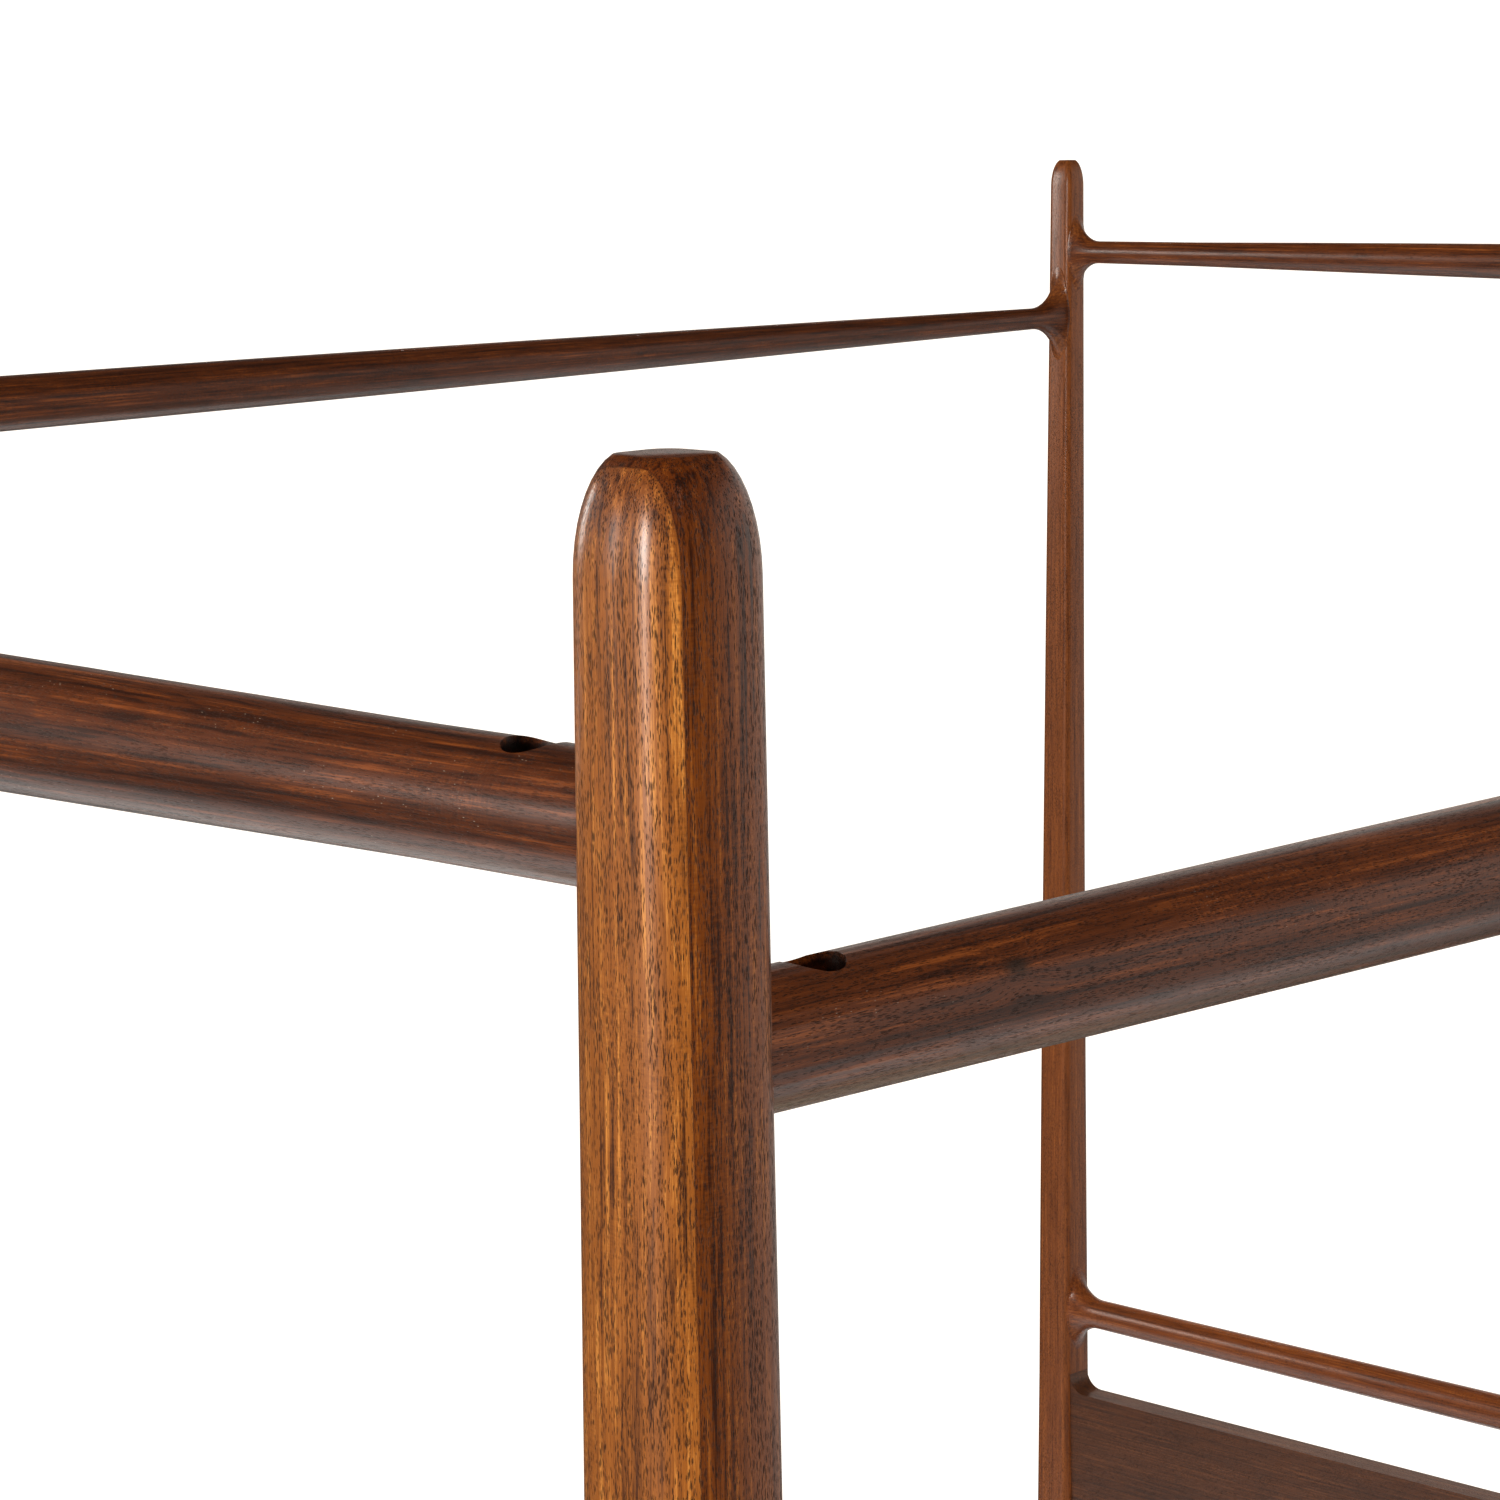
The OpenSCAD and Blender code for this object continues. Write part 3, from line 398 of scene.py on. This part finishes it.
        # The colour is made darker towards the very top of the post, over its top 34 mm
        near_top = height_up.step(crown - 34.0, crown - 4.0)
        color = color.blend(crown_darkening, near_top, "MULTIPLY")
    # Painted shade darkens the inside of the bored pockets
    if pocket_shade_mask is not None:
        color = color.blend(pocket_shade, pocket_shade_mask, "MULTIPLY")
    gloss = 0.46 + (fibre - 0.5) * 0.15 + pore * 0.25 + late * 0.03
    height = 0.6 + (fibre - 0.5) * 0.22 + ripple * 0.12 - pore * 0.6
    return end_material(material, tone, {
        "Base Color": color, "Roughness": gloss, "Specular IOR Level": 0.25,
        "Coat Weight": 0.75 - pore * 0.6, "Coat Roughness": 0.27}, height, 0.00026)


post_x, post_y, post_height = 825.0, 1030.0, 2000.0
post_tones = (0.60, 0.225, 0.040), (0.29, 0.087, 0.0125), (0.062, 0.0165, 0.0035)
for side, x_mid in (("left", -post_x), ("right", post_x)):
    post = skin("foot_post_" + side, walnut(
        "foot post walnut " + side, "z", (x_mid, -post_y), 2.3 + x_mid * 0.001, *post_tones,
        board=(1, -12.0), crown=post_height))
    soften(post, 0.80)

# ---------------------------------------------------------------- head posts
# The head posts are slimmer, each cut from a single plainer board of walnut. They are shaped,
# sanded and lacquered like the foot posts, and carry the headboard between them.
head_tones = (0.33, 0.098, 0.020), (0.205, 0.056, 0.0120), (0.100, 0.025, 0.006)
for side, x_mid in (("left", -post_x), ("right", post_x)):
    skin("head_post_" + side, walnut(
        "head post walnut " + side, "z", (x_mid, post_y), 5.1 + x_mid * 0.001, *head_tones,
        figure=0.7, pores=0.8))

# ---------------------------------------------------------------- canopy rails
# The canopy rails are turned and scraped from darker heartwood, coped to the posts, and
# lacquered. The right one has a small knot near its foot end.
cross_height, long_height = 1916.6, 1864.4
rail_tones = (0.195, 0.048, 0.0085), (0.078, 0.0175, 0.0034), (0.025, 0.0058, 0.0017)
# The head rail's tones are the rail tones made about one and a half times as light or more: painted
# light for this far rail, which the lamps light less
head_rail_painted_light_tones = (0.30, 0.080, 0.016), (0.125, 0.030, 0.0060), (0.045, 0.0100, 0.0026)
long_pocket, long_flare = (940.0, 16.2, False), (950.0, False, head_tones)
skin("canopy_rail_foot", walnut(
    "canopy foot rail walnut", "x", (-post_y, cross_height), 1.2, *rail_tones,
    pores=0.6, figure=1.25, flecks=0.7, pocket=(740.0, 15.3, True)))
# The far head rail is painted lighter than the other canopy rails, as painted light
skin("canopy_rail_head", walnut(
    "canopy head rail walnut", "x", (post_y, cross_height), 3.4, *head_rail_painted_light_tones,
    pores=0.7, flare=(770.0, True, head_tones)))
skin("canopy_rail_left", walnut(
    "canopy left rail walnut", "y", (-post_x, long_height), 4.6, *rail_tones,
    pores=0.7, pocket=long_pocket, flare=long_flare))
skin("canopy_rail_right", walnut(
    "canopy right rail walnut", "y", (post_x, long_height), 6.7, *rail_tones,
    pores=0.8, flecks=0.35, knot=(-932.0, 8.0), pocket=long_pocket, flare=long_flare))

# ---------------------------------------------------------------- canopy hardware
# Zinc-plated hanger bolts, half-moon washers and hex nuts sit in the pockets at the foot posts.
# Blackened connector bolts run from the back of the head posts into brass inserts.


def metal(name, color, roughness, metallic=1.0):
    """Plated or blackened metal with fine brushing and darker patches."""
    worn = tuple(c * 0.7 for c in color)
    material, tone, (x, y, z) = start_material(name)
    scratch = tone.noise(x * 0.6, y * 0.6, z * 6.0, 2.0)
    cloud = tone.noise(x * 0.15, y * 0.15, z * 0.15, 2.0)
    plate = tone.node("ShaderNodeMix", {"data_type": "RGBA"}, {
        0: cloud.step(0.35, 0.75) * 0.6 + scratch * 0.25, 6: (*color, 1.0), 7: (*worn, 1.0)}, 2)
    return end_material(material, tone, {
        "Base Color": plate, "Metallic": metallic,
        "Roughness": roughness + (scratch - 0.5) * 0.12 + (cloud - 0.5) * 0.10}, scratch, 0.00002)


zinc = metal("zinc plate", (0.62, 0.63, 0.65), 0.34)
brass = metal("brass", (0.66, 0.45, 0.16), 0.32)
black_steel = metal("blackened steel", (0.035, 0.036, 0.038), 0.45, 0.9)
skin("canopy_hanger_bolts", zinc)
skin("canopy_half_moon_washers", zinc)
skin("canopy_hex_nuts", zinc)
skin("canopy_connector_bolts", black_steel)
skin("canopy_rail_inserts", brass)

# ---------------------------------------------------------------- headboard
# A round rail dowelled between the head posts, over a plain walnut panel whose top corners
# curve up into them. The dowels are pale hardwood.


def pale_wood(name, grain, seed):
    """Planed birch, unfinished, with fine fibres and small dark flecks."""
    material, tone, xyz = start_material(name)
    along = xyz.pop(AXES[grain])
    a, b = xyz
    wave = tone.noise(a * 0.03, b * 0.03 + seed, along * 0.002, 2.0)
    band = tone.noise(a * 0.14 + wave * 3.0, b * 0.14 + seed, along * 0.003, 3.0, 0.55)
    fibre = tone.noise(a * 2.4, b * 2.4 + seed, along * 0.03, 2.0, 0.6)
    fleck_spot = tone.cells(a * 0.9, b * 0.9 + seed, along * 0.18)
    fleck = 1.0 - (fleck_spot / 0.14).step(0.4, 1.0)
    value = 0.5 + (band - 0.5) * 1.6 + (fibre - 0.5) * 0.5
    color = value.node("ShaderNodeValToRGB", {"stops": [
        (0.0, (0.40, 0.24, 0.11)), (0.5, (0.60, 0.41, 0.22)), (1.0, (0.76, 0.58, 0.37))]},
        {"Fac": value})
    color = color.blend((0.25, 0.13, 0.05, 1.0), fleck * 0.5)
    return end_material(material, tone, {
        "Base Color": color, "Roughness": 0.62 + (fibre - 0.5) * 0.2, "Specular IOR Level": 0.3},
        0.5 + (fibre - 0.5) * 0.4 - fleck * 0.2, 0.0001)


board_y, board_rail_height, panel_height = 1026.0, 1050.0, 700.0
skin("headboard_top_rail", walnut(
    "headboard rail walnut", "x", (board_y, board_rail_height), 7.7,
    (0.30, 0.085, 0.018), (0.185, 0.046, 0.0100), (0.080, 0.020, 0.005), pores=0.7))
skin("headboard_dowels", pale_wood("dowel birch", "x", 2.0))
skin("headboard_panel", walnut(
    "headboard panel walnut", "x", (board_y, panel_height), 8.3,
    (0.14, 0.044, 0.012), (0.082, 0.024, 0.0065), (0.045, 0.013, 0.004), pores=0.8))

# ---------------------------------------------------------------- bed rails
# Four walnut boards stand on edge between the posts, with rounded edges. Two blackened bolts at
# each end pull them up to the posts through steel barrel nuts.
bed_rail_height = 290.0
bed_tones = (0.30, 0.088, 0.018), (0.175, 0.046, 0.0095), (0.070, 0.018, 0.005)
for node, grain, side_place, seed in (
        ("side_rail_left", "y", -post_x, 9.1), ("side_rail_right", "y", post_x, 10.4),
        ("foot_rail", "x", -post_y, 11.2), ("head_rail", "x", post_y, 12.6)):
    skin(node, walnut(node.replace("_", " ") + " walnut", grain,
                                          (side_place, bed_rail_height), seed, *bed_tones))
skin("bed_bolts", black_steel)
skin("bed_barrel_nuts", zinc)

# ---------------------------------------------------------------- slats
# Sixteen birch slats with rounded edges lie on two cleats screwed inside the side rails, tied
# together by two webbing straps stapled under them.


def grow(name, sizes, paint, build):
    """A plain mesh from a Geometry Nodes tree that has one named input for each size."""
    tree = bpy.data.node_groups.new(name, "GeometryNodeTree")
    tree.interface.new_socket("Geometry", in_out="OUTPUT", socket_type="NodeSocketGeometry")
    for label, value in sizes.items():
        kind = "NodeSocketInt" if isinstance(value, int) else "NodeSocketFloat"
        tree.interface.new_socket(label, in_out="INPUT", socket_type=kind).default_value = value
    entry = tree.nodes.new("NodeGroupInput")
    start = Tone(tree)
    shape = build(start, *[Tone(tree, entry.outputs[label]) for label in sizes])
    shape = start.node("GeometryNodeRealizeInstances", {}, {"Geometry": shape})
    shape = start.node("GeometryNodeSetMaterial", {}, {"Geometry": shape, "Material": paint})
    start.node("NodeGroupOutput", {}, {0: shape})
    piece = bpy.data.objects.new(name, bpy.data.meshes.new(name + "_seed"))
    scene.collection.objects.link(piece)
    modifier = piece.modifiers.new("shape", "NODES")
    modifier.node_group = tree
    for item in tree.interface.items_tree:
        if item.in_out == "INPUT":
            modifier[item.identifier] = sizes[item.name]
    graph = bpy.context.evaluated_depsgraph_get()
    graph.update()
    mesh = bpy.data.meshes.new_from_object(piece.evaluated_get(graph))
    piece.modifiers.clear()
    piece.data = mesh
    return piece


def build_slats(start, count, length, width, thickness, edge, pitch, middle):
    """One bar with rounded edges along x, repeated along y at an even pitch."""
    outline = start.node("GeometryNodeCurvePrimitiveQuadrilateral", {}, {
        "Width": width, "Height": thickness})
    outline = start.node("GeometryNodeFilletCurve", {"mode": "POLY"},
                         {"Curve": outline, "Count": 5, "Radius": edge})
    path = start.node("GeometryNodeCurvePrimitiveLine", {}, {
        "Start": start.place(length * -0.5, 0.0, 0.0), "End": start.place(length * 0.5, 0.0, 0.0)})
    slat = start.node("GeometryNodeCurveToMesh", {}, {
        "Curve": path, "Profile Curve": outline, "Fill Caps": True})
    row = start.node("GeometryNodeMeshLine", {}, {
        "Count": count, "Start Location": start.place(0.0, (count - 1) * pitch * -0.5, middle),
        "Offset": start.place(0.0, pitch, 0.0)})
    return start.node("GeometryNodeInstanceOnPoints", {}, {"Points": row, "Instance": slat})


slat_nodes = ["slat_%02d" % i for i in range(1, 17)]
slat_low, slat_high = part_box(slat_nodes[0])
slat_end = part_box(slat_nodes[-1])[0]
slats = grow("slats", {
    "Count": len(slat_nodes), "Length": slat_high.x - slat_low.x, "Width": slat_high.y - slat_low.y,
    "Thickness": slat_high.z - slat_low.z, "Edge radius": 0.004,
    "Pitch": (slat_end.y - slat_low.y) / (len(slat_nodes) - 1.0),
    "Middle height": (slat_low.z + slat_high.z) / 2.0,
}, pale_wood("slat birch", "x", 3.3), build_slats)
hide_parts(*slat_nodes)
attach(slats, "bed_frame")
cleat_birch = pale_wood("cleat birch", "y", 5.9)
skin("slat_cleat_left", cleat_birch)
skin("slat_cleat_right", cleat_birch)
skin("cleat_screws", zinc)

strap_cloth, tone, (x, y, z) = start_material("strap webbing")
threads = 3.4
warp = tone.math("SINE", x * threads)
weft = tone.math("SINE", y * threads)
weave = (warp * weft) * 0.5 + 0.5
dust = tone.noise(x * 0.05, y * 0.02, 0.0, 2.0)
thread = 0.35 + weave * 0.9 + dust * 0.3
strap_cloth = end_material(strap_cloth, tone, {
    "Base Color": tone.place(thread * 0.040, thread * 0.040, thread * 0.044),
    "Roughness": 0.8 + weave * 0.1, "Specular IOR Level": 0.2}, weave, 0.0003)
skin("strap_left", strap_cloth)
skin("strap_right", strap_cloth)
skin("strap_staples", zinc)

# ---------------------------------------------------------------- centre support
# A birch beam hangs in two folded steel brackets under the slats. Three turned walnut legs hold
# it up, each on a nylon foot that screws in and out of a brass insert.
skin("centre_beam", pale_wood("beam birch", "y", 7.4))
skin("beam_bracket_foot", black_steel)
skin("beam_bracket_head", black_steel)
skin("bracket_screws", zinc)
skin("leg_hanger_bolts", zinc)
skin("leg_inserts", brass)
nylon, tone, (x, y, z) = start_material("nylon")
grit = tone.noise(x * 1.5, y * 1.5, z * 1.5, 3.0)
shade = 0.016 + grit * 0.012
nylon = end_material(nylon, tone, {"Base Color": tone.place(shade, shade * 0.9, shade * 0.82),
                                   "Roughness": 0.42 + grit * 0.15}, grit, 0.00008)
for place_name, y_mid in (("front", -600.0), ("middle", 0.0), ("rear", 600.0)):
    skin("centre_leg_" + place_name, walnut(
        "leg walnut " + place_name, "z", (0.0, y_mid), 4.0 + y_mid * 0.003, *bed_tones))
    skin("levelling_foot_" + place_name, nylon)

# ---------------------------------------------------------------- glides
# Each of the four posts stands on a round nylon glide, whose pin is pressed into a hole in the
# post's end.
skin("post_glides", nylon)
